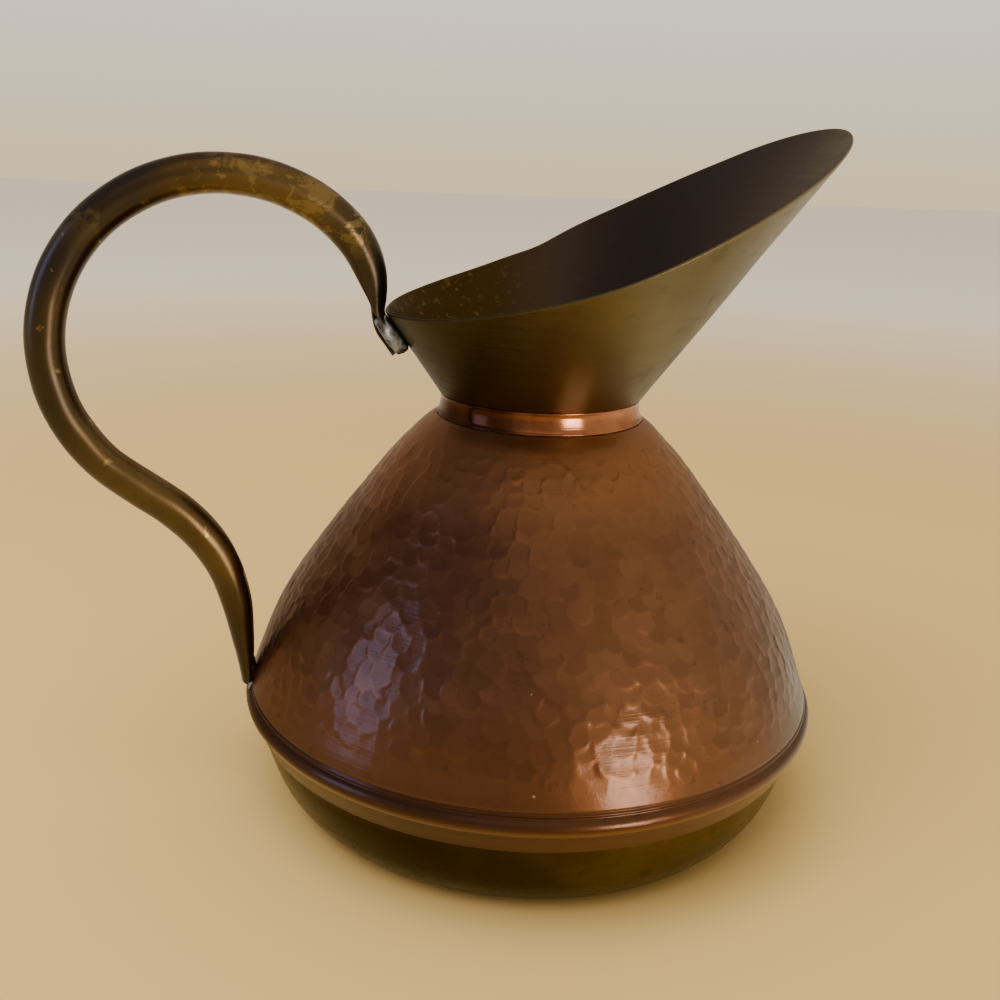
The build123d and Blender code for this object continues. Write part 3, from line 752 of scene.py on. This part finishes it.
out_n = np.array([-0.8150, 0, -0.5795])           # away from the funnel's wall, under the handle
along = np.array([-0.5795, 0, 0.8150])            # up the wall
side = np.array([0, 1.0, 0])
foot = np.array([-41.84, 0, 141.2])
upper = lump("solder_handle_top", foot + out_n * 2.05 + along * 1.45, (out_n, side, along), (2.35, 3.42, 6.20), 81, 4.0, 0.26)
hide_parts("handle_upper_solder")
lower = lump("solder_handle_foot", (-86.55, 0, 40.3), ((1, 0, 0), (0, 1, 0), (0, 0, 1)), (1.75, 3.0, 4.9), 83, 2.5, 0.12)
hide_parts("handle_lower_solder")
drip = lump("solder_foot_drip", (-86.2, -2.6, 35.9), ((1, 0, 0), (0, 1, 0), (0, 0, 1)), (1.45, 1.9, 1.75), 87, 2.2, 0.14)


# ------------------------------------------------------------------ stage and light
def stage():
    me = bpy.data.meshes.new("floor")
    me.from_pydata([(-9, -9, -0.0003), (9, -9, -0.0003), (9, 9, -0.0003), (-9, 9, -0.0003)], [], [(0, 1, 2, 3)])
    o = bpy.data.objects.new("floor", me)
    bpy.context.scene.collection.objects.link(o)
    ring = np.linspace(0, 2 * math.pi, 96, endpoint=False)
    near = bpy.data.meshes.new("floor_near")
    near.from_pydata([(0.122 * math.cos(t), 0.122 * math.sin(t), -0.00028) for t in ring], [], [tuple(range(96))])
    under = bpy.data.objects.new("floor_near", near)
    bpy.context.scene.collection.objects.link(under)
    m = bpy.data.materials.new("floor")
    m.use_nodes = True
    b = m.node_tree.nodes["Principled BSDF"]
    k = m.node_tree.nodes
    seen_at = k.new("ShaderNodeTexCoord")
    flat = k.new("ShaderNodeVectorMath")
    flat.operation = "LENGTH"
    far = k.new("ShaderNodeMapRange")
    far.interpolation_type = "SMOOTHSTEP"
    far.inputs["From Min"].default_value, far.inputs["From Max"].default_value = 0.35, 1.7
    tone = k.new("ShaderNodeMix")
    tone.data_type = "RGBA"
    tone.inputs[6].default_value, tone.inputs[7].default_value = (0.68, 0.490, 0.215, 1), (0.877, 0.805, 0.687, 1)
    for a, c in ((seen_at.outputs["Object"], flat.inputs[0]), (flat.outputs["Value"], far.inputs["Value"]), (far.outputs[0], tone.inputs[0]), (tone.outputs[2], b.inputs["Base Color"])):
        m.node_tree.links.new(a, c)
    b.inputs["Roughness"].default_value = 0.8
    b.inputs["Specular IOR Level"].default_value = 0.2
    me.materials.append(m)
    o.visible_glossy = False
    near.materials.append(m)

    w = bpy.context.scene.world or bpy.data.worlds.new("world")
    bpy.context.scene.world = w
    w.use_nodes = True
    t = w.node_tree
    t.nodes.clear()

    def nd(kind, ins=(), **props):
        x = t.nodes.new("ShaderNode" + kind)
        for k, v in props.items():
            setattr(x, k, v)
        for k, v in dict(ins).items():
            if isinstance(v, bpy.types.NodeSocket):
                t.links.new(v, x.inputs[k])
            else:
                x.inputs[k].default_value = v
        return x

    d = nd("TexCoord").outputs["Generated"]
    sep = nd("SeparateXYZ", {0: d})
    back = nd("VectorMath", {0: d, 1: (0.85, 0.50, 0.0)}, operation="DOT_PRODUCT").outputs["Value"]
    fb = nd("MapRange", {"Value": back, "From Min": -0.45, "From Max": 0.45}, interpolation_type="SMOOTHSTEP").outputs[0]
    fz = nd("MapRange", {"Value": sep.outputs[2], "From Min": 0.25, "From Max": 0.80}, interpolation_type="SMOOTHSTEP").outputs[0]

    def mix(f, a, b):
        x = nd("Mix", data_type="RGBA")
        for i, v in ((0, f), (6, a), (7, b)):
            if isinstance(v, bpy.types.NodeSocket):
                t.links.new(v, x.inputs[i])
            else:
                x.inputs[i].default_value = v if i == 0 else (*v, 1)
        return x.outputs[2]

    room = mix(fb, (0.255, 0.215, 0.175), (0.42, 0.36, 0.28))
    turn = nd("VectorMath", {0: d, 1: (0.719, -0.695, 0.0)}, operation="DOT_PRODUCT").outputs["Value"]
    ft = nd("MapRange", {"Value": turn, "From Min": -0.14, "From Max": 0.10}, interpolation_type="SMOOTHSTEP").outputs[0]
    room = mix(fz, room, mix(ft, (0.17, 0.15, 0.165), (0.42, 0.345, 0.27)))
    side_on = nd("VectorMath", {0: d, 1: (0.80, 0.60, 0.0)}, operation="DOT_PRODUCT").outputs["Value"]
    fs = nd("MapRange", {"Value": side_on, "From Min": -0.15, "From Max": 0.62}, interpolation_type="SMOOTHSTEP").outputs[0]
    table = mix(fs, (0.40, 0.31, 0.19), (0.60, 0.53, 0.41))
    fd = nd("MapRange", {"Value": sep.outputs[2], "From Min": 0.02, "From Max": -0.12}, interpolation_type="SMOOTHSTEP").outputs[0]
    room = mix(fd, room, table)
    up = nd("MapRange", {"Value": sep.outputs[2], "From Min": -0.02, "From Max": 0.16}, interpolation_type="SMOOTHSTEP").outputs[0]
    sky = mix(up, (0.74, 0.62, 0.42), (0.78, 0.72, 0.63))
    pale = nd("Background", {"Color": sky, "Strength": 1.0})
    seen = nd("Background", {"Color": room, "Strength": 1.0})
    lp = nd("LightPath")
    mixer = nd("MixShader")
    t.links.new(lp.outputs["Is Glossy Ray"], mixer.inputs[0])
    t.links.new(pale.outputs[0], mixer.inputs[1])
    t.links.new(seen.outputs[0], mixer.inputs[2])
    out = nd("OutputWorld")
    t.links.new(mixer.outputs[0], out.inputs[0])


def area(name, azimuth, elevation, distance, width, height, radiance, color, glossy=True, aim=(0, 0, 0.08)):
    a, e = math.radians(azimuth), math.radians(elevation)
    back = Vector((math.sin(a) * math.cos(e), -math.cos(a) * math.cos(e), math.sin(e)))
    data = bpy.data.lights.new(name, "AREA")
    data.shape = "RECTANGLE"
    data.size, data.size_y = width, height
    data.energy = radiance * math.pi * width * height
    data.color = color
    o = bpy.data.objects.new(name, data)
    bpy.context.scene.collection.objects.link(o)
    o.location = Vector(aim) + back * distance
    o.rotation_mode = "QUATERNION"
    o.rotation_quaternion = back.to_track_quat("Z", "Y")
    o.visible_camera = False
    o.visible_glossy = glossy


stage()
area("window_left", -82, 16, 1.0, 0.32, 0.50, 1.30, (0.34, 0.46, 1.0))
area("window_right", 23, -1.0, 1.1, 0.34, 0.46, 4.6, (1.0, 0.87, 0.82))
area("soft_top", -50, 62, 1.6, 1.3, 1.3, 3.2, (1.0, 0.98, 0.95), glossy=False)

bpy.context.scene.view_settings.view_transform = "AgX"
bpy.context.scene.view_settings.look = "AgX - Medium High Contrast"
bpy.context.scene.view_settings.exposure = 0.0
